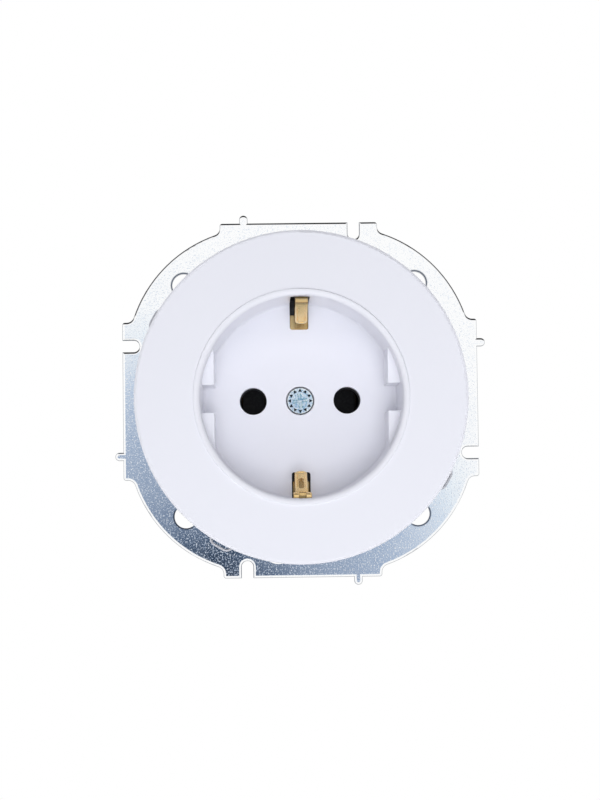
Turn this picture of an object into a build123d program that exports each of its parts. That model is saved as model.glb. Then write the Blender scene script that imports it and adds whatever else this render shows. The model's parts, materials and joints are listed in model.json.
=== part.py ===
from build123d import *
from math import cos, radians, sin
import os

# Flush wall socket insert with side earth contacts, for a round wall box.
# Sizes are in millimetres. X is to the right and Z is up on the wall. Heights are
# measured out of the wall, towards -Y, from the back face of the support ring.

# Plug system
pin_spacing = 19.0
pin_length = 19.0
pin_diameter = 4.8
pin_hole_diameter = 5.5
recess_diameter = 39.4
recess_depth = 17.5

# Support ring
ring_width = 70.8
ring_flat_rise = 0.85
ring_side_straight = 16.3
ring_flat_length = 31.5
ring_thickness = 1.2
ring_edge_radius = 0.5
ring_shoulder_radius = 1.5
ring_flat_corner_radius = 0.5
ring_opening_margin = 0.4
link_offset = 11.0
link_tab_width = 1.65
link_tab_height = 1.6
link_notch_width = 2.3
link_notch_depth = 3.4
corner_hole_inset = 2.8
corner_hole_diameter = 4.6
box_screw_circle = 60.0
box_screw_slot_width = 3.8
box_screw_slot_length = 16.0
box_screw_key_diameter = 6.4
box_screw_key_inset = 0.5
dimple_inset = 3.2
dimple_angle = 29.7
dimple_length = 5.2
dimple_width = 3.2
dimple_depth = 0.3
dimple_taper = 60.0

# Round cover with the plug bowl
cover_diameter = 64.9
cover_stand = 11.0
cover_gap = 0.5
cover_face_thickness = 2.0
cover_skirt_thickness = 1.8
cover_edge_radius = 0.6
bowl_wall = 1.3
bowl_floor = 2.6
bowl_floor_radius = 0.6
lip_width = 1.35
lip_height = 0.3
lip_inner_radius = 0.85
lip_outer_radius = 0.2
guide_rib_depth = 2.6
guide_depth = 5.0
guide_groove_width = 5.5
window_width = 3.8
window_reach = 5.25
window_head = 2.4
window_corner = 0.5
cover_rib_thickness = 1.2
cover_rib_height = 5.0
cover_rib_count = 8

# Screw in the middle of the bowl
cover_screw_diameter = 3.4
cover_screw_length = 9.0
cover_screw_head_diameter = 5.4
cover_screw_head_height = 1.5
cover_screw_head_sink = 0.1
cover_screw_head_edge = 0.25
head_mark_count = 12
head_mark_circle = 4.15
head_mark_radius = 0.44
head_mark_depth = 0.42
head_mark_taper = 22.0
drive_width = 0.8
drive_length = 2.9
drive_depth = 0.8
drive_taper = 20.0
drive_angle = 8.0

# Earth bracket, its two fingers and the strip to its terminal
strip_thickness = 0.7
bracket_width = 8.0
bracket_length = 23.0
bracket_corner_radius = 1.5
bracket_collar_diameter = 6.0
bracket_collar_length = 2.8
finger_width = 3.6
finger_depth = 3.0
finger_hairpin = 1.5
finger_bend_radius = 0.62
finger_tip_depth = 11.0
tongue_width = 2.4
tongue_tip_corner = 0.9
tongue_root = 1.5
tongue_lap = 0.5
tongue_rim_radius = 0.2
trough_width = 1.6
trough_margin = 0.4
trough_depth = 0.12
trough_taper = 45.0
finger_slot_width = 1.1
finger_slot_length = 3.6
finger_slot_inset = 0.65
upper_tip_reach = 4.35
lower_tip_reach = 5.2
upper_tongue_shift = 0.3
lower_tongue_shift = -0.16
upper_step_gap = 2.75
lower_step_gap = 4.0
shoulder_gap = 1.5
shoulder_rise = 1.5
shoulder_run = 0.9
shoulder_rim_radius = 0.25
earth_foot_length = 4.0

# Base block and the plate over its chambers
contact_cover_thickness = 2.6
pin_guide_clearance = 0.15
pin_guide_chamfer = 0.4
pin_guide_taper = 45.0
tub_wall = 1.6
base_margin = 0.3
base_corner_radius = 12.0
base_back_wall = 2.2
base_edge_radius = 0.8
chamber_width = 8.8
chamber_bottom = 5.4
chamber_corner_radius = 1.5
pin_end_gap = 0.3
rivet_diameter = 3.0
rivet_head_diameter = 5.0
rivet_head_height = 0.8
rivet_head_edge = 0.35
rivet_lug_thickness = 3.5
rivet_lug_width = 5.8
wire_window_width = 7.8
wire_window_corner = 0.6

# Pin contacts and screw terminals
contact_thickness = 0.8
contact_width = 7.0
contact_grip = 0.3
contact_flare = 0.7
contact_flare_length = 1.6
contact_bend_radius = 0.8
contact_front_gap = 4.6
leg_height = 8.4
clamp_back_gap = 1.1
terminal_gap = 4.6
clamp_width = 7.6
clamp_length = 8.0
clamp_thickness = 1.2
clamp_lip_width = 0.8
clamp_lip_height = 0.8
clamp_screw_diameter = 3.0
clamp_screw_reach = 1.6
clamp_head_diameter = 5.2
clamp_head_height = 2.0
clamp_head_room = 0.7
clamp_slot_width = 0.9
clamp_slot_depth = 0.9

# Spreader claws and their screws
claw_thickness = 1.2
claw_width = 8.0
claw_arm_depth = 13.0
claw_leg_length = 11.0
claw_leg_reach = 3.6
claw_bend_radius = 1.3
claw_bead_radius = 0.9
claw_bead_inset = 0.4
claw_tooth_depth = 2.6
claw_swing = 20.0
claw_screw_gap = 0.3
claw_screw_diameter = 3.0
claw_screw_tail = 4.0
claw_screw_head_diameter = 5.4
claw_screw_head_height = 1.9
claw_screw_head_edge = 0.5

# Clearances
moving_clearance = 0.15
seat_clearance = 0.2
thread_clearance = 0.05

# Heights that follow from the sizes above
ring_front = ring_thickness
cover_front = ring_front + cover_stand
cover_back = ring_front + cover_gap
bowl_front = cover_front - recess_depth
bowl_back = bowl_front - bowl_floor
web_back = bowl_back - strip_thickness
chamber_front = bowl_back - contact_cover_thickness
chamber_back = bowl_front - pin_length - pin_end_gap - contact_thickness
base_back = chamber_back - base_back_wall
screw_head_front = bowl_front - cover_screw_head_sink
screw_seat = screw_head_front - cover_screw_head_height

# Radii and offsets that follow
pin_x = pin_spacing / 2
pin_guide_radius = pin_diameter / 2 + pin_guide_clearance
ring_body_width = ring_width - 2 * ring_flat_rise
ring_corner_radius = (ring_body_width - ring_side_straight) / 2
corner_hole_radius = ring_width / 2 - corner_hole_inset
dimple_radius = ring_width / 2 - dimple_inset
recess_radius = recess_diameter / 2
guide_spacing = recess_diameter - 2 * guide_rib_depth
window_inner_radius = recess_radius - window_reach
upper_tip_radius = recess_radius - upper_tip_reach
lower_tip_radius = recess_radius - lower_tip_reach
lip_radius = recess_radius + lip_width
cover_radius = cover_diameter / 2
skirt_inner_radius = cover_radius - cover_skirt_thickness
bowl_outer_radius = recess_radius + bowl_wall
tub_inner_radius = bowl_outer_radius + seat_clearance
tub_outer_radius = tub_inner_radius + tub_wall
ring_opening_radius = tub_inner_radius + ring_opening_margin
finger_radius = recess_radius + bowl_wall / 2
upper_step_radius = finger_radius - upper_step_gap
lower_step_radius = finger_radius - lower_step_gap
base_width = 2 * (tub_inner_radius + base_margin)
rivet_offset = tub_outer_radius + seat_clearance + rivet_head_diameter / 2
contact_gap = pin_diameter - contact_grip
terminal_depth = -chamber_back - contact_thickness - clamp_back_gap - clamp_length / 2
clamp_bottom = leg_height + terminal_gap
clamp_top = clamp_bottom + clamp_thickness
chamber_top = clamp_top + clamp_head_height + clamp_head_room
chamber_height = chamber_top + chamber_bottom
clamp_screw_tip = leg_height - contact_thickness - clamp_screw_reach
earth_chamber_top = clamp_screw_tip - seat_clearance
claw_pivot_x = base_width / 2 - claw_bead_inset
claw_screw_offset = tub_outer_radius + claw_screw_gap + claw_screw_diameter / 2
claw_leg_offset = claw_screw_offset + claw_leg_reach
claw_arm = claw_screw_offset - claw_pivot_x

wall = Plane.XZ
sides = (("left", -1), ("right", 1))
poles = (("line", -1), ("neutral", 1))
terminals = (("line", -pin_x, 1), ("neutral", pin_x, 1), ("earth", 0, -1))
rivets = (("upper", 1), ("lower", -1))

os.makedirs("parts", exist_ok=True)


def on_section(radius, height):
    """Point of a turned profile, drawn on the XY plane about the Y axis."""
    return Vector(radius, -height)


def save(builder, name):
    """Label a finished piece and write its STEP file."""
    builder.part.label = name
    export_step(builder.part, f"parts/{name}.step")


# Support ring: one stamping that is the same after a quarter turn
with BuildPart() as mounting_ring:
    with BuildSketch(wall) as outline:
        RectangleRounded(ring_body_width, ring_body_width, ring_corner_radius)
        Rectangle(ring_flat_length, ring_width)
        Rectangle(ring_width, ring_flat_length)
        fillet(outline.vertices().group_by(SortBy.DISTANCE)[0], ring_shoulder_radius)
        fillet(outline.vertices().group_by(SortBy.DISTANCE)[-1], ring_flat_corner_radius)
        with PolarLocations(ring_width / 2, 4):
            with Locations((0, link_offset)):
                SlotOverall(2 * link_tab_height, link_tab_width)
            with Locations((0, -link_offset)):
                SlotOverall(2 * link_notch_depth, link_notch_width, mode=Mode.SUBTRACT)
    extrude(amount=ring_thickness)
    front_face = mounting_ring.faces().sort_by(Axis.Y)[0]
    fillet(front_face.outer_wire().edges(), ring_edge_radius)
    with BuildSketch(wall):
        Circle(ring_opening_radius)
        with PolarLocations(corner_hole_radius, 4, start_angle=45):
            Circle(corner_hole_diameter / 2)
        with PolarLocations(box_screw_circle / 2, 4):
            SlotOverall(box_screw_slot_length, box_screw_slot_width, rotation=90)
            with Locations((-box_screw_key_inset, (box_screw_key_diameter - box_screw_slot_length) / 2)):
                Circle(box_screw_key_diameter / 2)
        with Locations((claw_screw_offset, 0), (-claw_screw_offset, 0)):
            Circle(claw_screw_diameter / 2 + seat_clearance)
        with Locations((0, rivet_offset), (0, -rivet_offset)):
            Circle(rivet_diameter / 2 + thread_clearance)
    extrude(amount=ring_thickness, mode=Mode.SUBTRACT)
    with BuildSketch(wall.offset(ring_front)):
        with PolarLocations(dimple_radius, 4, start_angle=-dimple_angle):
            SlotOverall(dimple_length, dimple_width, rotation=90)
    extrude(amount=-dimple_depth, taper=dimple_taper, mode=Mode.SUBTRACT)
save(mounting_ring, "mounting_ring")

# Round cover: turned shell with the bowl, then the ribs and cuts of the bowl
with BuildPart() as central_cover:
    floor_corner = on_section(recess_radius, bowl_front)
    lip_inner = on_section(recess_radius, cover_front + lip_height)
    lip_outer = on_section(lip_radius, cover_front + lip_height)
    cover_edge = on_section(cover_radius, cover_front)
    with BuildSketch(Plane.XY) as section:
        with BuildLine():
            Polyline(
                on_section(0, bowl_front),
                floor_corner,
                lip_inner,
                lip_outer,
                on_section(lip_radius, cover_front),
                cover_edge,
                on_section(cover_radius, cover_back),
                on_section(skirt_inner_radius, cover_back),
                on_section(skirt_inner_radius, cover_front - cover_face_thickness),
                on_section(bowl_outer_radius, cover_front - cover_face_thickness),
                on_section(bowl_outer_radius, bowl_back),
                on_section(0, bowl_back),
                close=True,
            )
        make_face()
        for corner, radius in (
            (floor_corner, bowl_floor_radius),
            (lip_inner, lip_inner_radius),
            (lip_outer, lip_outer_radius),
            (cover_edge, cover_edge_radius),
        ):
            fillet(section.vertices().sort_by_distance(corner)[0], radius)
    revolve(axis=Axis.Y)
    # guide ribs at the left and right of the bowl, each split by a groove
    with BuildSketch(wall.offset(bowl_front)):
        Circle(recess_radius + bowl_wall / 2)
        Rectangle(guide_spacing, recess_diameter + bowl_wall, mode=Mode.SUBTRACT)
        Rectangle(recess_diameter + bowl_wall, guide_groove_width, mode=Mode.SUBTRACT)
    extrude(amount=recess_depth - guide_depth)
    # stiffening ribs between the bowl and the skirt
    with BuildSketch(wall.offset(cover_front - cover_face_thickness)):
        with PolarLocations(
            (bowl_outer_radius + skirt_inner_radius) / 2,
            cover_rib_count,
            start_angle=180 / cover_rib_count,
        ):
            Rectangle(
                skirt_inner_radius - bowl_outer_radius + bowl_wall,
                cover_rib_thickness,
            )
    extrude(amount=-cover_rib_height)
    # windows for the earth fingers, pin holes and the stepped screw hole
    window_length = tub_inner_radius - window_inner_radius
    with BuildSketch(wall.offset(bowl_back)):
        with PolarLocations(window_inner_radius + window_length / 2, 2, start_angle=90):
            RectangleRounded(window_length, window_width, window_corner)
    extrude(amount=cover_front - window_head - bowl_back, mode=Mode.SUBTRACT)
    with BuildSketch(wall.offset(bowl_back)):
        with Locations((pin_x, 0), (-pin_x, 0)):
            Circle(pin_hole_diameter / 2)
        Circle(cover_screw_diameter / 2 + seat_clearance)
    extrude(amount=bowl_floor, mode=Mode.SUBTRACT)
    with BuildSketch(wall.offset(screw_seat)):
        Circle(cover_screw_head_diameter / 2 + seat_clearance)
    extrude(amount=bowl_front - screw_seat, mode=Mode.SUBTRACT)
save(central_cover, "central_cover")

# Cover screw with a crossed drive inside a ring of pressed marks
with BuildPart() as cover_screw:
    with BuildSketch(wall.offset(screw_seat)):
        Circle(cover_screw_head_diameter / 2)
    extrude(amount=cover_screw_head_height)
    fillet(cover_screw.faces().sort_by(Axis.Y)[0].edges(), cover_screw_head_edge)
    with BuildSketch(wall.offset(screw_seat)):
        Circle(cover_screw_diameter / 2)
    extrude(amount=-cover_screw_length)
    with BuildSketch(wall.offset(screw_head_front)):
        Rectangle(drive_length, drive_width, rotation=drive_angle)
        Rectangle(drive_width, drive_length, rotation=drive_angle)
    extrude(amount=-drive_depth, taper=drive_taper, mode=Mode.SUBTRACT)
    with BuildSketch(wall.offset(screw_head_front)):
        with PolarLocations(head_mark_circle / 2, head_mark_count):
            RegularPolygon(head_mark_radius, 3)
    extrude(amount=-head_mark_depth, taper=head_mark_taper, mode=Mode.SUBTRACT)
save(cover_screw, "cover_screw")

# Earth bracket: a strip behind the bowl whose ends stand up as spring fingers
with BuildPart() as earth_bracket:
    with BuildSketch(wall.offset(bowl_back)):
        RectangleRounded(bracket_width, bracket_length, bracket_corner_radius)
    extrude(amount=-strip_thickness)
    with BuildSketch(wall.offset(web_back)):
        Circle(bracket_collar_diameter / 2)
    extrude(amount=-bracket_collar_length)
    web_middle = strip_thickness / 2 - bowl_back
    web_end = bracket_length / 2 - bracket_corner_radius
    shoulder_top = finger_depth - cover_front
    tip_level = finger_tip_depth - cover_front
    inner_bend = finger_radius - finger_hairpin
    for up, tip_radius, shift, top in (
        (1, upper_tip_radius, upper_tongue_shift, shoulder_top),
        (-1, lower_tip_radius, lower_tongue_shift, shoulder_top + shoulder_rise),
    ):
        bend = Vector(shift, top, up * inner_bend)
        tip = Vector(shift, tip_level, up * tip_radius)
        slope = (tip - bend).normalized()
        root = bend + slope * tongue_root
        with BuildSketch(Plane.YZ.offset(shift)):
            with BuildLine():
                FilletPolyline(
                    (web_middle, up * web_end),
                    (web_middle, up * finger_radius),
                    (top, up * finger_radius),
                    (bend.Y, bend.Z),
                    (root.Y, root.Z),
                    radius=finger_bend_radius,
                )
            trace(line_width=strip_thickness)
        extrude(amount=tongue_width / 2, both=True)
        # the tongue is a plate with a rounded end, a rounded rim and a shallow trough
        tongue_start = root - slope * tongue_lap
        tongue_length = (tip - tongue_start).length
        facing = Plane(
            (tongue_start + tip) / 2,
            x_dir=(up, 0, 0),
            z_dir=(0, up * slope.Z, -up * slope.Y),
        )
        with BuildPart(mode=Mode.PRIVATE) as tongue:
            with BuildSketch(facing.offset(-strip_thickness / 2)) as plate:
                Rectangle(tongue_width, tongue_length)
                fillet(plate.vertices().sort_by(Axis.Y)[:2], tongue_tip_corner)
            extrude(amount=strip_thickness)
            plate_front = tongue.faces().sort_by(Axis(facing.origin, facing.z_dir))[-1]
            fillet(plate_front.edges(), tongue_rim_radius)
            with BuildSketch(facing.offset(strip_thickness / 2)):
                SlotOverall(tongue_length - 2 * trough_margin, trough_width, rotation=90)
            extrude(amount=-trough_depth, taper=trough_taper, mode=Mode.SUBTRACT)
            if up < 0:
                # the lower tongue is slotted above its bend, which makes it springy
                slot_middle = (tongue_length - finger_slot_length) / 2 - finger_slot_inset
                with BuildSketch(facing.offset(-strip_thickness / 2)):
                    with Locations((0, slot_middle)):
                        SlotOverall(finger_slot_length, finger_slot_width, rotation=90)
                extrude(amount=strip_thickness, mode=Mode.SUBTRACT)
        add(tongue.part)
    # the web is wider than the upper finger up to a step
    with BuildSketch(wall.offset(bowl_back)):
        with Locations((0, web_end)):
            Rectangle(finger_width, upper_step_radius - web_end, align=(Align.CENTER, Align.MIN))
    extrude(amount=-strip_thickness)
    # the lower finger is flanked by two shoulders
    shoulder_width = (finger_width - shoulder_gap) / 2
    for edge in (-1, 1):
        with BuildPart(mode=Mode.PRIVATE) as shoulder:
            with BuildSketch(Plane.YZ.offset(edge * (finger_width - shoulder_width) / 2)):
                with BuildLine():
                    FilletPolyline(
                        (web_middle, -lower_step_radius),
                        (web_middle, -finger_radius),
                        (shoulder_top, -finger_radius),
                        (shoulder_top, -inner_bend),
                        (shoulder_top + shoulder_run, -inner_bend),
                        radius=finger_bend_radius,
                    )
                trace(line_width=strip_thickness)
            extrude(amount=shoulder_width / 2, both=True)
            outer_side = shoulder.faces().sort_by(Axis((0, 0, 0), (edge, 0, 0)))[-1]
            fillet(outer_side.edges(), shoulder_rim_radius)
        add(shoulder.part)
    with BuildSketch(wall.offset(bowl_back)):
        Circle(cover_screw_diameter / 2 + thread_clearance)
    extrude(
        amount=-strip_thickness - bracket_collar_length,
        mode=Mode.SUBTRACT,
    )
save(earth_bracket, "earth_bracket")

# Strip from the back of the bracket to the earth terminal
foot_middle = contact_thickness / 2 - web_back
leg_middle = leg_height - contact_thickness / 2
with BuildPart() as earth_strip:
    with BuildSketch(Plane.YZ):
        with BuildLine():
            FilletPolyline(
                (foot_middle, -leg_middle - earth_foot_length),
                (foot_middle, -leg_middle),
                (terminal_depth + clamp_length / 2, -leg_middle),
                radius=contact_bend_radius,
            )
        trace(line_width=contact_thickness)
    extrude(amount=contact_width / 2, both=True)
    with BuildSketch(Plane.XY.offset(-leg_height)):
        with Locations((0, terminal_depth)):
            Circle(clamp_screw_diameter / 2 + thread_clearance)
    extrude(amount=contact_thickness, mode=Mode.SUBTRACT)
save(earth_strip, "earth_strip")

# Plate over the contact chambers, grooved for the bracket
with BuildPart() as contact_cover:
    with BuildSketch(wall.offset(bowl_back)):
        Circle(bowl_outer_radius)
    extrude(amount=-contact_cover_thickness)
    with BuildSketch(wall.offset(bowl_back)):
        Rectangle(bracket_width + 2 * seat_clearance, bracket_length + 2 * seat_clearance)
        Rectangle(finger_width + 2 * seat_clearance, 2 * tub_inner_radius)
    extrude(amount=-strip_thickness, mode=Mode.SUBTRACT)
    foot_span = earth_foot_length + contact_thickness / 2 + 2 * seat_clearance
    with BuildSketch(wall.offset(web_back)):
        with Locations((0, seat_clearance - leg_middle + contact_thickness / 2)):
            Rectangle(
                contact_width + 2 * seat_clearance,
                foot_span + contact_thickness / 2,
                align=(Align.CENTER, Align.MAX),
            )
    extrude(amount=-contact_thickness, mode=Mode.SUBTRACT)
    with BuildSketch(wall.offset(bowl_back)):
        Circle(bracket_collar_diameter / 2 + seat_clearance)
        with Locations((pin_x, 0), (-pin_x, 0)):
            Circle(pin_guide_radius)
        with Locations((0, -leg_middle)):
            Rectangle(
                contact_width + 2 * seat_clearance,
                contact_thickness + 2 * contact_bend_radius,
            )
    extrude(amount=-contact_cover_thickness, mode=Mode.SUBTRACT)
    # funnels that lead the pins in
    with BuildSketch(wall.offset(bowl_back)):
        with Locations((pin_x, 0), (-pin_x, 0)):
            Circle(pin_guide_radius + pin_guide_chamfer)
    extrude(amount=-pin_guide_chamfer, taper=pin_guide_taper, mode=Mode.SUBTRACT)
save(contact_cover, "contact_cover")

# Base: a round tub for the bowl in front of a block with the contact chambers
with BuildPart() as socket_base:
    with BuildSketch(wall):
        Circle(tub_outer_radius)
    extrude(amount=chamber_front)
    with BuildSketch(wall):
        SlotCenterToCenter(2 * rivet_offset, rivet_lug_width, rotation=90)
    extrude(amount=-rivet_lug_thickness)
    with BuildSketch(wall.offset(chamber_front)):
        RectangleRounded(base_width, base_width, base_corner_radius)
    extrude(amount=base_back - chamber_front)
    fillet(socket_base.faces().sort_by(Axis.Y)[-1].edges(), base_edge_radius)
    with BuildSketch(wall):
        Circle(tub_inner_radius)
    extrude(amount=chamber_front, mode=Mode.SUBTRACT)
    with BuildSketch(wall):
        with Locations((0, rivet_offset), (0, -rivet_offset)):
            Circle(rivet_diameter / 2 + thread_clearance)
    extrude(amount=-rivet_lug_thickness, mode=Mode.SUBTRACT)
    # chambers for the two pin contacts and the earth terminal
    earth_chamber_height = chamber_top - earth_chamber_top
    with BuildSketch(wall.offset(chamber_front)):
        with Locations((pin_x, 0), (-pin_x, 0)):
            with Locations((0, (chamber_top - chamber_bottom) / 2)):
                RectangleRounded(chamber_width, chamber_height, chamber_corner_radius)
        with Locations((0, -earth_chamber_top - earth_chamber_height / 2)):
            RectangleRounded(chamber_width, earth_chamber_height, chamber_corner_radius)
    extrude(amount=chamber_back - chamber_front, mode=Mode.SUBTRACT)
    # hole for the bracket's collar and the end of the cover screw
    with BuildSketch(wall.offset(chamber_front)):
        Circle(bracket_collar_diameter / 2 + seat_clearance)
    extrude(amount=screw_seat - cover_screw_length - chamber_front - seat_clearance, mode=Mode.SUBTRACT)
    # wire windows in the back wall
    window_level = leg_height + terminal_gap / 2
    with BuildSketch(wall.offset(chamber_back)):
        with Locations((pin_x, window_level), (-pin_x, window_level), (0, -window_level)):
            RectangleRounded(wire_window_width, terminal_gap, wire_window_corner)
    extrude(amount=-base_back_wall, mode=Mode.SUBTRACT)
    # holes through which the terminal screws are turned
    for name, x, up in terminals:
        side_plane = Plane((x, terminal_depth, 0), x_dir=(1, 0, 0), z_dir=(0, 0, up))
        with BuildSketch(side_plane.offset(clamp_top)):
            Circle(clamp_head_diameter / 2 + seat_clearance)
        extrude(amount=base_width / 2 - clamp_top, mode=Mode.SUBTRACT)
    # grooves in which the claws swing
    with BuildSketch(Plane.XY):
        with Locations((claw_pivot_x, claw_arm_depth), (-claw_pivot_x, claw_arm_depth)):
            Circle(claw_bead_radius + moving_clearance)
    extrude(amount=claw_width / 2 + moving_clearance, both=True, mode=Mode.SUBTRACT)
save(socket_base, "socket_base")

# Rivets that hold the ring on the lugs of the base
for name, up in rivets:
    with BuildPart() as rivet:
        with BuildSketch(wall.offset(ring_front)):
            with Locations((0, up * rivet_offset)):
                Circle(rivet_head_diameter / 2)
        extrude(amount=rivet_head_height)
        fillet(rivet.faces().sort_by(Axis.Y)[0].edges(), rivet_head_edge)
        with BuildSketch(wall.offset(ring_front)):
            with Locations((0, up * rivet_offset)):
                Circle(rivet_diameter / 2)
        extrude(amount=-ring_thickness - rivet_lug_thickness)
        with BuildSketch(wall.offset(-rivet_lug_thickness)):
            with Locations((0, up * rivet_offset)):
                Circle(rivet_head_diameter / 2)
        extrude(amount=-rivet_head_height)
        fillet(rivet.faces().sort_by(Axis.Y)[-1].edges(), rivet_head_edge)
    save(rivet, f"{name}_rivet")

# Pin contacts: two spring leaves hanging from the plate of the terminal
leaf_middle = (contact_gap + contact_thickness) / 2
contact_back = -chamber_back
contact_front = contact_front_gap - chamber_front
leaf_front = contact_front + contact_flare_length
for name, side in poles:
    with BuildPart() as contact:
        pole_plan = Plane((side * pin_x, 0, 0), x_dir=(1, 0, 0), z_dir=(0, 0, 1))
        for edge in (-1, 1):
            with BuildSketch(pole_plan):
                with BuildLine():
                    FilletPolyline(
                        (edge * (leaf_middle + contact_flare), contact_front),
                        (edge * leaf_middle, leaf_front),
                        (edge * leaf_middle, contact_back),
                        radius=contact_bend_radius,
                    )
                trace(line_width=contact_thickness)
            extrude(amount=contact_width / 2, both=True)
        with BuildSketch(Plane((side * pin_x, leaf_front, 0), x_dir=(1, 0, 0), z_dir=(0, -1, 0))):
            with BuildLine():
                FilletPolyline(
                    (-leaf_middle, 0),
                    (-leaf_middle, leg_middle),
                    (leaf_middle, leg_middle),
                    (leaf_middle, 0),
                    radius=contact_bend_radius,
                )
            trace(line_width=contact_thickness)
        extrude(amount=leaf_front - contact_back)
        with BuildSketch(Plane.XY.offset(leg_height)):
            with Locations((side * pin_x, terminal_depth)):
                Circle(clamp_screw_diameter / 2 + thread_clearance)
        extrude(amount=-contact_thickness, mode=Mode.SUBTRACT)
    save(contact, f"{name}_contact")

# Screw terminals: a lipped clamp plate and a slotted screw for each pole
for name, x, up in terminals:
    terminal = Plane((x, terminal_depth, 0), x_dir=(1, 0, 0), z_dir=(0, 0, up))
    with BuildPart() as clamp:
        with BuildSketch(terminal.offset(clamp_bottom)):
            Rectangle(clamp_width, clamp_length)
            Circle(clamp_screw_diameter / 2 + seat_clearance, mode=Mode.SUBTRACT)
        extrude(amount=clamp_thickness)
        with BuildSketch(terminal.offset(clamp_bottom)):
            with GridLocations(clamp_width - clamp_lip_width, 0, 2, 1):
                Rectangle(clamp_lip_width, clamp_length)
        extrude(amount=-clamp_lip_height)
    save(clamp, f"{name}_clamp")
    with BuildPart() as clamp_screw:
        with BuildSketch(terminal.offset(clamp_top)):
            Circle(clamp_head_diameter / 2)
        extrude(amount=clamp_head_height)
        with BuildSketch(terminal.offset(clamp_top)):
            Circle(clamp_screw_diameter / 2)
        extrude(amount=clamp_screw_tip - clamp_top)
        with BuildSketch(terminal.offset(clamp_top + clamp_head_height)):
            Rectangle(clamp_head_diameter, clamp_slot_width)
        extrude(amount=-clamp_slot_depth, mode=Mode.SUBTRACT)
    save(clamp_screw, f"{name}_clamp_screw")

# Spreader claws: bent levers that hook into the base and are drawn by their screws
swing = radians(claw_swing)
screw_room = claw_screw_diameter / 2 + moving_clearance
tilt_room = claw_thickness / 2 * sin(swing)
slot_start = (claw_arm - screw_room - tilt_room) / cos(swing)
slot_end = (claw_arm + screw_room + tilt_room) / cos(swing)
claw_end = claw_arm_depth + claw_leg_length
for name, side in sides:
    with BuildPart() as claw:
        with BuildSketch(Plane.XY):
            with BuildLine():
                FilletPolyline(
                    (side * claw_pivot_x, claw_arm_depth),
                    (side * claw_leg_offset, claw_arm_depth),
                    (side * claw_leg_offset, claw_end),
                    radius=claw_bend_radius,
                )
            trace(line_width=claw_thickness)
            with Locations((side * claw_pivot_x, claw_arm_depth)):
                Circle(claw_bead_radius)
        extrude(amount=claw_width / 2, both=True)
        with BuildSketch(wall.offset(-claw_arm_depth)):
            with Locations((side * (claw_pivot_x + (slot_start + slot_end) / 2), 0)):
                SlotOverall(slot_end - slot_start, 2 * screw_room)
        extrude(amount=claw_thickness, both=True, mode=Mode.SUBTRACT)
        # notches between and beside the two teeth
        with BuildSketch(Plane.YZ.offset(side * claw_leg_offset)):
            with BuildLine():
                Polyline(
                    (claw_end, -claw_width / 4),
                    (claw_end - claw_tooth_depth, 0),
                    (claw_end, claw_width / 4),
                    close=True,
                )
            make_face()
            for edge in (-1, 1):
                with BuildLine():
                    Polyline(
                        (claw_end, edge * claw_width / 4),
                        (claw_end - claw_tooth_depth, edge * claw_width / 2),
                        (claw_end, edge * claw_width / 2),
                        close=True,
                    )
                make_face()
        extrude(amount=claw_thickness, both=True, mode=Mode.SUBTRACT)
    save(claw, f"{name}_claw")
    with BuildPart() as claw_screw:
        with BuildSketch(wall.offset(ring_front)):
            with Locations((side * claw_screw_offset, 0)):
                Circle(claw_screw_head_diameter / 2)
        extrude(amount=claw_screw_head_height)
        fillet(claw_screw.faces().sort_by(Axis.Y)[0].edges(), claw_screw_head_edge)
        with BuildSketch(wall.offset(ring_front)):
            with Locations((side * claw_screw_offset, 0)):
                Circle(claw_screw_diameter / 2)
        extrude(amount=-ring_thickness - claw_arm_depth - claw_screw_tail)
        with BuildSketch(wall.offset(ring_front + claw_screw_head_height)):
            with Locations((side * claw_screw_offset, 0)):
                Rectangle(drive_length, drive_width)
                Rectangle(drive_width, drive_length)
        extrude(amount=-drive_depth, mode=Mode.SUBTRACT)
    save(claw_screw, f"{name}_claw_screw")
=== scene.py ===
"""The look of the wall socket insert: materials, light, floor and the photograph's camera."""
import json
import math

import bpy
from mathutils import Matrix, Vector


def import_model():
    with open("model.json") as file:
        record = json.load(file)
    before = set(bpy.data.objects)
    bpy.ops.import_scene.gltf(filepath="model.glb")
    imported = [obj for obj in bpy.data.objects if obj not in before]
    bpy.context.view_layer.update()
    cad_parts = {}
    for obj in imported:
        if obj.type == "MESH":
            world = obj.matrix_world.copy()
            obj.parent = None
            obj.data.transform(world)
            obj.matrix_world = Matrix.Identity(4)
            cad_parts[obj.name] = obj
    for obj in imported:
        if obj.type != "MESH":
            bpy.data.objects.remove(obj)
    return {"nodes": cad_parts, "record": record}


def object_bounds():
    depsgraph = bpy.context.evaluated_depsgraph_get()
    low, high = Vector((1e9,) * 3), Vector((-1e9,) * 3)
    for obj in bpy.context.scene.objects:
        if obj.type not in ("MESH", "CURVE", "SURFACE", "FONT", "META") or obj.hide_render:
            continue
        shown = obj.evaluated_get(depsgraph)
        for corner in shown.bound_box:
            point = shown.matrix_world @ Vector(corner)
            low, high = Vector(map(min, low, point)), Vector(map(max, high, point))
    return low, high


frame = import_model()
cad_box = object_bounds()
nodes = frame["nodes"]
scene = bpy.context.scene

WHITE = (1.0, 1.0, 1.0)

# Camera of the photograph, in millimetres, degrees and pixels, and its clips in metres
CAMERA_PLACE = (-6.46, -374.31, -18.48)
CAMERA_YAW = -0.97
CAMERA_PITCH = 2.812
CAMERA_ROLL = 0.781
CAMERA_FOCAL_PX = 1875.2
IMAGE_HEIGHT = 800
SENSOR_MM = 36.0
MM_PER_METRE = 1000.0
CLIP_START = 0.01
CLIP_END = 50.0

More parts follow.
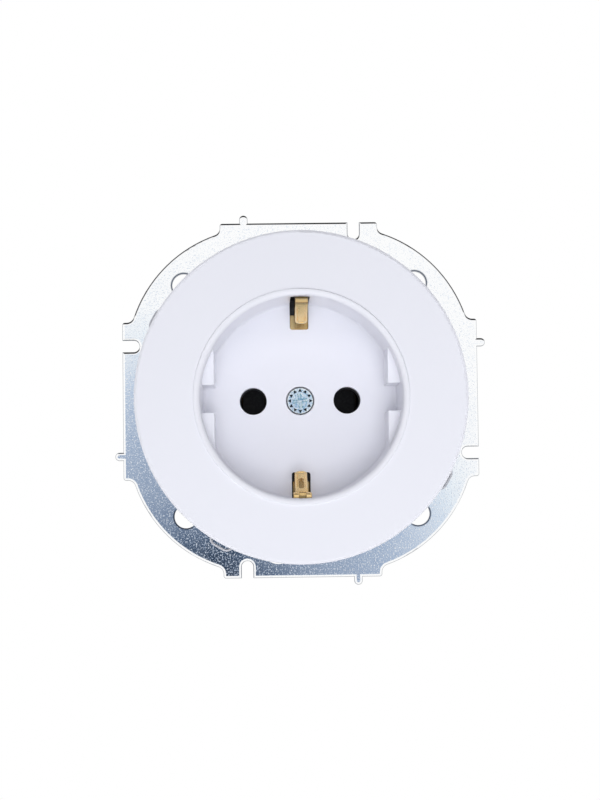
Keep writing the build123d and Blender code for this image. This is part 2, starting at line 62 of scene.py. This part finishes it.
# Lamps: name, place and size in metres, and watts
LAMPS = (
    ("front", (0.02, -0.70, -0.10), 0.33, 2.42),
    ("low", (0.0, -0.45, -0.40), 0.5, 0.88),
    ("left", (-0.6, 0.3, 0.1), 0.5, 1.7),
    ("right", (0.6, 0.3, 0.1), 0.5, 1.7),
    ("top", (0.0, 0.3, 0.6), 0.5, 1.7),
    ("back", (0.0, 0.7, 0.2), 0.5, 1.7),
)
LAMP_COLOR = (0.965, 0.975, 1.0)

# The room: its even light, and the dim patch and the ceiling that the metal reflects
AMBIENT = (0.31, 0.31, 0.32)
DIM_PATCH = (-0.032, -1.0, -0.055)
DIM_REACH = 0.2
DIM_STEPS = (
    (0.0, (0.0, 0.004, 0.015)),
    (0.1, (0.007, 0.017, 0.04)),
    (0.16, (0.06, 0.10, 0.17)),
    (0.22, (0.16, 0.215, 0.32)),
    (0.3, (0.29, 0.36, 0.485)),
    (0.4, (0.32, 0.40, 0.535)),
    (0.47, (0.36, 0.45, 0.60)),
    (0.54, (0.43, 0.52, 0.67)),
    (0.62, (0.57, 0.67, 0.805)),
    (0.7, (0.82, 0.89, 0.95)),
    (0.78, WHITE),
)
CEILING_COLOR = (0.12, 0.13, 0.15)
CEILING_SPAN = (0.75, 0.95)

# Floor, in metres
FLOOR_DROP = 0.62
FLOOR_HALF = 3.0
FLOOR_COLOR = (0.8, 0.8, 0.8)

# Shared by the materials. A noise is a scale, a detail and a roughness; most of its values
# lie in the noise span. Bumps, reaches and places are in metres.
NOISE_SPAN = (0.3, 0.7)
RISING = (0.0, 1.0)
FALLING = (1.0, 0.0)
NO_DEPTH = (1.0, 0.0, 1.0)
SHADE_SAMPLES = 8

# White plastic. From a roughness of 0.274 on, the denoiser treats a gloss as matt, so a
# span across that value would show as grain.
WHITE_TONES = ((0.876, 0.881, 0.940), (0.884, 0.889, 0.948))
WHITE_CLOUD = (45.0, 3.0, 0.5)
WHITE_PEEL = (700.0, 1.0, 0.5)
WHITE_ROUGH = (0.278, 0.298)
WHITE_BUMP = 0.0000006
# Painted shade: the bowl's floor is darker toward its upper wall, by facing, depth, distance and
# height
BOWL_SHADE_COLOR = (0.745, 0.755, 0.815)
BOWL_FACING = (-0.8, -0.2)
BOWL_DEPTH = (0.002, 0.003)
BOWL_OUT = (0.011, 0.0195)
BOWL_HEIGHT = (0.006, 0.014)

# Black plastic
BLACK_TONES = ((0.022, 0.0225, 0.026), (0.055, 0.055, 0.06))
BLACK_SPECK = (1800.0, 3.0, 0.6)
BLACK_SPECK_SPAN = (0.42, 0.72)
BLACK_ROUGH = (0.4, 0.62)
BLACK_BUMP = 0.00002

# Zinc plating
ZINC_SPECK = (3300.0, 2.0, 0.6)
ZINC_SPECK_SPAN = (0.56, 0.76)
ZINC_FLECK = (2900.0, 1.0, 0.5)
ZINC_FLECK_SPAN = (0.34, 0.42)
ZINC_PATCH = (160.0, 3.0, 0.5)
ZINC_ROUGH = (0.05, 0.1)
ZINC_FLECK_TONE = (0.87, 0.90, 0.94)
ZINC_PLAIN_TONE = (0.975, 0.98, 0.985)
STEEL_COLOR = (0.70, 0.73, 0.77)
STEEL_BUMP = 0.000003

# Stamped ring, as painted light: its tones from a white front, over a dark painted shade on the
# sheared edge, to a dimmer painted shade on the back
SHEET_LIT_AND_SHADED_TONES = (
    (0.0, WHITE),
    (0.14, WHITE),
    (0.3, (0.12, 0.14, 0.17)),
    (0.68, (0.12, 0.14, 0.17)),
    (0.86, (0.66, 0.69, 0.73)),
    (1.0, (0.66, 0.69, 0.73)),
)
SHEET_FACING = (-1.0, 1.0)
SHEET_BUMP = 0.0000062
# Painted shade: its upper edges are dark, and so are the outer rims of its corner holes. The
# round corners and the holes are placed in one quarter of the ring, which stands for all four.
UPPER_EDGE_SHADE = (0.02, 0.021, 0.024)
EDGE_FACING = (0.2, 0.38)
EDGE_HEIGHT = (0.0, 0.001)
ARC_PLACE = 0.00815
ARC_RADIUS = 0.0264
ARC_EDGE = (ARC_RADIUS - 0.00036, ARC_RADIUS - 0.0002)
FLAT_END = (0.0169, 0.0172)
HOLE_RIM_SHADE = (0.09, 0.11, 0.15)
HOLE_PLACE = 0.02305
HOLE_RADIUS = 0.0023
HOLE_RIM = (HOLE_RADIUS + 0.00016, HOLE_RADIUS + 0.0004)
HOLE_OUT = (0.0, 0.0012)

# Head of the cover screw: mottled, with painted shade in the marks outside its drive
SCREW_COLOR = (0.95, 1.0, 1.0)
SCREW_WORN_COLOR = (0.52, 0.72, 0.84)
SCREW_WORN = (1900.0, 2.0, 0.6)
SCREW_WORN_SPAN = (0.53, 0.6)
SCREW_MARK_SHADE = (0.05, 0.075, 0.11)
SCREW_SHADE_REACH = 0.0005
SCREW_SHADE_SPAN = (0.45, 0.9)
SCREW_DRIVE = (0.0015, 0.0016)
SCREW_DRIVE_UNSHADED = (0.9, 0.0)
SCREW_BUMP = 0.000007

# Rolled brass: painted shade in the folds, less in the upper half, and painted shade at the
# upper finger's fold
BRASS_TONES = ((0.97, 0.66, 0.28), (1.0, 0.76, 0.40))
BRASS_PATCH = (380.0, 3.0, 0.5)
BRASS_STREAK = (5200.0, 2.0, 0.5)
BRASS_ROLLED = (1.0, 0.05, 0.05)
BRASS_ROUGH = (0.16, 0.27)
BRASS_BUMP = 0.000002
FOLD_SHADE_COLOR = (0.12, 0.065, 0.018)
FOLD_SPAN = (0.15, 0.8)
FOLD_HEIGHT = (0.004, 0.006)
FOLD_SHARE = (1.0, 0.25)
FOLD_REACH = 0.0035
CHAMBER_REACH = 0.009
FOLD_BAND_SHADE = (0.60, 0.44, 0.22)
BAND_HEIGHT = (0.01815, 0.0183)
FOLD_TOP_SHADE = (0.10, 0.06, 0.02)
TOP_HEIGHT = (0.0192, 0.0194)
SHADE_SHARE = (0.0, 0.9)


def camera():
    """The camera that took the photograph."""
    turn = (
        Matrix.Rotation(math.radians(CAMERA_YAW), 3, "Z")
        @ Matrix.Rotation(math.radians(CAMERA_PITCH), 3, "X")
        @ Matrix.Rotation(math.radians(CAMERA_ROLL), 3, "Y")
    )
    right, forward, up = turn.col
    data = bpy.data.cameras.new("camera")
    data.sensor_fit = "VERTICAL"
    data.sensor_height = SENSOR_MM
    data.lens = SENSOR_MM * CAMERA_FOCAL_PX / IMAGE_HEIGHT
    data.clip_start = CLIP_START
    data.clip_end = CLIP_END
    obj = bpy.data.objects.new("camera", data)
    axes = Matrix((right, up, -forward)).transposed()
    obj.matrix_world = Matrix.Translation(Vector(CAMERA_PLACE) / MM_PER_METRE) @ axes.to_4x4()
    scene.collection.objects.link(obj)
    scene.camera = obj


class Nodes:
    """A short way to add and link shader nodes."""

    # sockets of the Mix node when it mixes colours
    MIX_FIRST = 6
    MIX_SECOND = 7
    MIX_RESULT = 2

    def __init__(self, tree):
        self.tree = tree
        tree.nodes.clear()

    def add(self, kind, inputs=None, **settings):
        node = self.tree.nodes.new(kind)
        for key, value in settings.items():
            setattr(node, key, value)
        for key, value in (inputs or {}).items():
            if isinstance(value, bpy.types.NodeSocket):
                self.tree.links.new(value, node.inputs[key])
            else:
                node.inputs[key].default_value = value
        return node

    def math(self, operation, first, second):
        node = self.add("ShaderNodeMath", {0: first, 1: second}, operation=operation)
        return node.outputs[0]

    def vector(self, operation, first, second=(0.0, 0.0, 0.0), output="Vector"):
        node = self.add("ShaderNodeVectorMath", {0: first, 1: second}, operation=operation)
        return node.outputs[output]

    def length(self, place):
        return self.vector("LENGTH", place, output="Value")

    def split(self, place):
        return self.add("ShaderNodeSeparateXYZ", {0: place}).outputs

    def noise(self, place, grain):
        scale, detail, rough = grain
        node = self.add(
            "ShaderNodeTexNoise",
            {"Vector": place, "Scale": scale, "Detail": detail, "Roughness": rough},
        )
        return node.outputs["Fac"]

    def spread(self, value, span, to=RISING):
        """Carry a span of values over to another, and hold its ends."""
        node = self.add(
            "ShaderNodeMapRange",
            {
                "Value": value,
                "From Min": span[0],
                "From Max": span[1],
                "To Min": to[0],
                "To Max": to[1],
            },
        )
        return node.outputs["Result"]

    def mix(self, blend, value, first, second):
        """Mix two colours, each of them a socket or plain."""
        node = self.add(
            "ShaderNodeMix", {"Factor": value}, data_type="RGBA", blend_type=blend
        )
        for key, color in ((self.MIX_FIRST, first), (self.MIX_SECOND, second)):
            if isinstance(color, bpy.types.NodeSocket):
                self.tree.links.new(color, node.inputs[key])
            else:
                node.inputs[key].default_value = (*color, 1.0)
        return node.outputs[self.MIX_RESULT]

    def tint(self, value, first, second):
        """Go from the first colour to the second as the value goes from 0 to 1."""
        return self.mix("MIX", value, first, second)

    def times(self, first, second):
        return self.mix("MULTIPLY", 1.0, first, second)

    def ramp(self, value, steps):
        node = self.add("ShaderNodeValToRGB", {"Fac": value})
        stops = node.color_ramp.elements
        while len(stops) < len(steps):
            stops.new(0.5)
        for stop, (at, color) in zip(stops, steps):
            stop.position = at
            stop.color = (*color, 1.0)
        return node.outputs["Color"]

    def open_sky(self, reach):
        """How open a point is within the reach, from 0 to 1."""
        node = self.add("ShaderNodeAmbientOcclusion", {"Distance": reach}, samples=SHADE_SAMPLES)
        return node.outputs["AO"]

    def any_ray(self, path, *names):
        """1 for a ray of any of the named kinds, and 0 for the rest."""
        total = path[names[0]]
        for name in names[1:]:
            total = self.math("MAXIMUM", total, path[name])
        return total


def world():
    """White behind the part, even light on it, and a room in the metal's reflections."""
    sky = bpy.data.worlds.new("studio")
    scene.world = sky
    sky.use_nodes = True
    kit = Nodes(sky.node_tree)
    toward = kit.add("ShaderNodeTexCoord").outputs["Generated"]
    away = kit.vector("DISTANCE", toward, Vector(DIM_PATCH).normalized(), "Value")
    room = kit.ramp(kit.spread(away, (0.0, DIM_REACH)), DIM_STEPS)
    room = kit.tint(kit.spread(kit.split(toward)["Z"], CEILING_SPAN), room, CEILING_COLOR)
    path = kit.add("ShaderNodeLightPath").outputs
    seen = kit.tint(path["Is Glossy Ray"], AMBIENT, room)
    straight = kit.any_ray(path, "Is Camera Ray", "Is Transmission Ray")
    seen = kit.tint(straight, seen, WHITE)
    glow = kit.add("ShaderNodeBackground", {"Color": seen, "Strength": 1.0})
    kit.add("ShaderNodeOutputWorld", {"Surface": glow.outputs[0]})


def lamp(name, place, size, watts):
    """A square soft lamp that faces the origin and shows in no picture or reflection."""
    data = bpy.data.lights.new(name, "AREA")
    data.shape = "SQUARE"
    data.size = size
    data.energy = watts
    data.color = LAMP_COLOR
    obj = bpy.data.objects.new(name, data)
    obj.location = place
    obj.rotation_euler = (-Vector(place)).to_track_quat("-Z", "Y").to_euler()
    obj.visible_camera = False
    obj.visible_glossy = False
    scene.collection.objects.link(obj)


def floor():
    """A floor far below the part, plain white in the picture and in reflections."""
    height = cad_box[0][2] - FLOOR_DROP
    corners = [
        (-FLOOR_HALF, -FLOOR_HALF, height),
        (FLOOR_HALF, -FLOOR_HALF, height),
        (FLOOR_HALF, FLOOR_HALF, height),
        (-FLOOR_HALF, FLOOR_HALF, height),
    ]
    mesh = bpy.data.meshes.new("floor")
    mesh.from_pydata(corners, [], [(0, 1, 2, 3)])
    obj = bpy.data.objects.new("floor", mesh)
    scene.collection.objects.link(obj)
    paint = bpy.data.materials.new("studio_floor")
    paint.use_nodes = True
    kit = Nodes(paint.node_tree)
    path = kit.add("ShaderNodeLightPath").outputs
    shown = kit.any_ray(path, "Is Camera Ray", "Is Glossy Ray", "Is Transmission Ray")
    matt = kit.add("ShaderNodeBsdfDiffuse", {"Color": (*FLOOR_COLOR, 1.0)})
    glow = kit.add("ShaderNodeEmission", {"Color": (*WHITE, 1.0), "Strength": 1.0})
    both = kit.add("ShaderNodeMixShader", {0: shown, 1: matt.outputs[0], 2: glow.outputs[0]})
    kit.add("ShaderNodeOutputMaterial", {"Surface": both.outputs[0]})
    obj.data.materials.append(paint)


def new_material(name):
    """A new material with its nodes, and the places and facings of its surface."""
    paint = bpy.data.materials.new(name)
    paint.use_nodes = True
    kit = Nodes(paint.node_tree)
    coords = kit.add("ShaderNodeTexCoord").outputs
    return paint, kit, coords["Object"], coords["Normal"]


def close_material(kit, color, roughness, height, bump, metallic=0.0):
    """Link colour, roughness and height, with the bump in metres, into one surface."""
    raised = kit.add("ShaderNodeBump", {"Height": height, "Distance": bump, "Strength": 1.0})
    skin = kit.add(
        "ShaderNodeBsdfPrincipled",
        {
            "Base Color": color,
            "Metallic": metallic,
            "Roughness": roughness,
            "Normal": raised.outputs[0],
        },
    )
    kit.add("ShaderNodeOutputMaterial", {"Surface": skin.outputs[0]})


def bowl_painted_shade(kit, place, facing):
    """How near a point of the bowl's floor is to the upper wall, from 0 to 1: where its painted
    shade falls.
    """
    axes = kit.split(place)
    floor_face = kit.math(
        "MULTIPLY",
        kit.spread(kit.split(facing)["Y"], BOWL_FACING, FALLING),
        kit.spread(axes["Y"], BOWL_DEPTH),
    )
    out = kit.length(kit.vector("MULTIPLY", place, NO_DEPTH))
    corner = kit.math(
        "MULTIPLY",
        kit.spread(out, BOWL_OUT),
        kit.spread(axes["Z"], BOWL_HEIGHT),
    )
    return kit.math("MULTIPLY", floor_face, corner)


def white_plastic():
    paint, kit, place, facing = new_material("white_plastic")
    cloud = kit.spread(kit.noise(place, WHITE_CLOUD), NOISE_SPAN)
    color = kit.tint(cloud, *WHITE_TONES)
    # painted shade on the bowl's floor toward its upper wall
    color = kit.tint(bowl_painted_shade(kit, place, facing), color, BOWL_SHADE_COLOR)
    peel = kit.noise(place, WHITE_PEEL)
    rough = kit.spread(peel, NOISE_SPAN, WHITE_ROUGH)
    close_material(kit, color, rough, peel, WHITE_BUMP)
    return paint


def black_plastic():
    paint, kit, place, _ = new_material("black_plastic")
    speck = kit.noise(place, BLACK_SPECK)
    color = kit.tint(kit.spread(speck, BLACK_SPECK_SPAN), *BLACK_TONES)
    rough = kit.spread(speck, NOISE_SPAN, BLACK_ROUGH)
    close_material(kit, color, rough, speck, BLACK_BUMP)
    return paint


def zinc_grain(kit, place):
    """Fine spangle of the plating: a tint of the colour, a roughness and a height."""
    peaks = kit.spread(kit.noise(place, ZINC_SPECK), ZINC_SPECK_SPAN)
    flecks = kit.spread(kit.noise(place, ZINC_FLECK), ZINC_FLECK_SPAN)
    tone = kit.tint(flecks, ZINC_FLECK_TONE, kit.tint(peaks, ZINC_PLAIN_TONE, WHITE))
    rough = kit.spread(kit.noise(place, ZINC_PATCH), NOISE_SPAN, ZINC_ROUGH)
    return tone, rough, peaks


def zinc_steel():
    paint, kit, place, _ = new_material("zinc_steel")
    tone, rough, peaks = zinc_grain(kit, place)
    color = kit.times(tone, STEEL_COLOR)
    close_material(kit, color, rough, peaks, STEEL_BUMP, metallic=1.0)
    return paint


def hole_rim_shade_mask(kit, quarter):
    """How far a point is on the outer rim of a corner hole, from 0 to 1: where a painted shade
    falls.
    """
    arm = kit.vector("SUBTRACT", quarter, (HOLE_PLACE, 0.0, HOLE_PLACE))
    near = kit.spread(kit.length(arm), HOLE_RIM, FALLING)
    out = kit.vector("DOT_PRODUCT", arm, NO_DEPTH, "Value")
    return kit.math("MULTIPLY", near, kit.spread(out, HOLE_OUT))


def round_corner(kit, quarter):
    """Whether a point is on a round corner, and on its very edge, each from 0 to 1."""
    axes = kit.split(quarter)
    beside = kit.spread(axes["X"], FLAT_END)
    above = kit.spread(axes["Z"], FLAT_END)
    arm = kit.vector("SUBTRACT", quarter, (ARC_PLACE, 0.0, ARC_PLACE))
    edge = kit.spread(kit.length(arm), ARC_EDGE)
    return kit.math("MULTIPLY", beside, above), edge


def zinc_sheet_painted_light():
    """The stamped ring, with painted light: bright in front, painted shade behind and a dark
    painted shade on the sheared edge.
    """
    paint, kit, place, facing = new_material("zinc_sheet_painted_light")
    tone, rough, peaks = zinc_grain(kit, place)
    faces = kit.split(facing)
    side = kit.spread(faces["Y"], SHEET_FACING)
    # painted light by facing: white in front, painted shade on the edge and behind
    color = kit.times(tone, kit.ramp(side, SHEET_LIT_AND_SHADED_TONES))
    quarter = kit.vector("MULTIPLY", kit.vector("ABSOLUTE", place), NO_DEPTH)
    corner, edge = round_corner(kit, quarter)
    # painted shade on the ring's upward-facing edges in its upper half, round corners included
    dark = kit.tint(corner, kit.spread(faces["Z"], EDGE_FACING), edge)
    upper = kit.spread(kit.split(place)["Z"], EDGE_HEIGHT)
    color = kit.tint(kit.math("MULTIPLY", dark, upper), color, UPPER_EDGE_SHADE)
    # painted shade on the outer rims of the corner holes
    color = kit.tint(hole_rim_shade_mask(kit, quarter), color, HOLE_RIM_SHADE)
    close_material(kit, color, rough, peaks, SHEET_BUMP, metallic=1.0)
    return paint


def zinc_screw_painted_shade():
    """The cover screw's head: mottled plating, and painted shade in its pressed marks."""
    paint, kit, place, _ = new_material("zinc_screw_painted_shade")
    tone, rough, peaks = zinc_grain(kit, place)
    color = kit.times(tone, SCREW_COLOR)
    worn = kit.spread(kit.noise(place, SCREW_WORN), SCREW_WORN_SPAN)
    color = kit.tint(worn, color, SCREW_WORN_COLOR)
    out = kit.length(kit.vector("MULTIPLY", place, NO_DEPTH))
    unshaded_share = kit.math(
        "MAXIMUM",
        kit.spread(kit.open_sky(SCREW_SHADE_REACH), SCREW_SHADE_SPAN),
        kit.spread(out, SCREW_DRIVE, SCREW_DRIVE_UNSHADED),
    )
    # painted shade in the pressed marks, from occlusion, none on the drive
    color = kit.tint(unshaded_share, SCREW_MARK_SHADE, color)
    close_material(kit, color, rough, peaks, SCREW_BUMP, metallic=1.0)
    return paint


def brass(name, reach):
    """Rolled brass, darker in its folds as far as the reach goes, and over the upper finger's
    fold: all painted shade.
    """
    paint, kit, place, _ = new_material(name)
    rolled = kit.add("ShaderNodeMapping", {"Vector": place, "Scale": BRASS_ROLLED}).outputs[0]
    streak = kit.noise(rolled, BRASS_STREAK)
    patch = kit.spread(kit.noise(place, BRASS_PATCH), NOISE_SPAN)
    color = kit.tint(patch, *BRASS_TONES)
    height = kit.split(place)["Z"]
    folds = kit.math(
        "MULTIPLY",
        kit.spread(kit.open_sky(reach), FOLD_SPAN, FALLING),
        kit.spread(height, FOLD_HEIGHT, FOLD_SHARE),
    )
    # painted shade in the folds and deep chambers, from occlusion
    color = kit.tint(folds, color, FOLD_SHADE_COLOR)
    # painted shade over the upper finger's fold, darkest at its top
    color = kit.tint(kit.spread(height, BAND_HEIGHT, SHADE_SHARE), color, FOLD_BAND_SHADE)
    color = kit.tint(kit.spread(height, TOP_HEIGHT, SHADE_SHARE), color, FOLD_TOP_SHADE)
    rough = kit.spread(streak, NOISE_SPAN, BRASS_ROUGH)
    close_material(kit, color, rough, streak, BRASS_BUMP, metallic=1.0)
    return paint


def dress():
    """Give each node the material of its slot, or its own finer one."""
    made = {
        "white_plastic": white_plastic(),
        "black_plastic": black_plastic(),
        "zinc_steel": zinc_steel(),
        "brass": brass("brass", FOLD_REACH),
    }
    # the contacts' brass: painted shade that reaches deep into their chambers
    chamber_shaded_brass = brass("deep_shaded_brass", CHAMBER_REACH)
    own = {
        "mounting_ring": zinc_sheet_painted_light(),
        "cover_screw": zinc_screw_painted_shade(),
        "line_contact": chamber_shaded_brass,
        "neutral_contact": chamber_shaded_brass,
    }
    for row in frame["record"]["subparts"]:
        name = row["node"]
        materials = nodes[name].data.materials
        materials.clear()
        materials.append(own.get(name, made[row["material_slot"]]))


camera()
world()
for row in LAMPS:
    lamp(*row)
floor()
dress()
scene.view_settings.view_transform = "Standard"
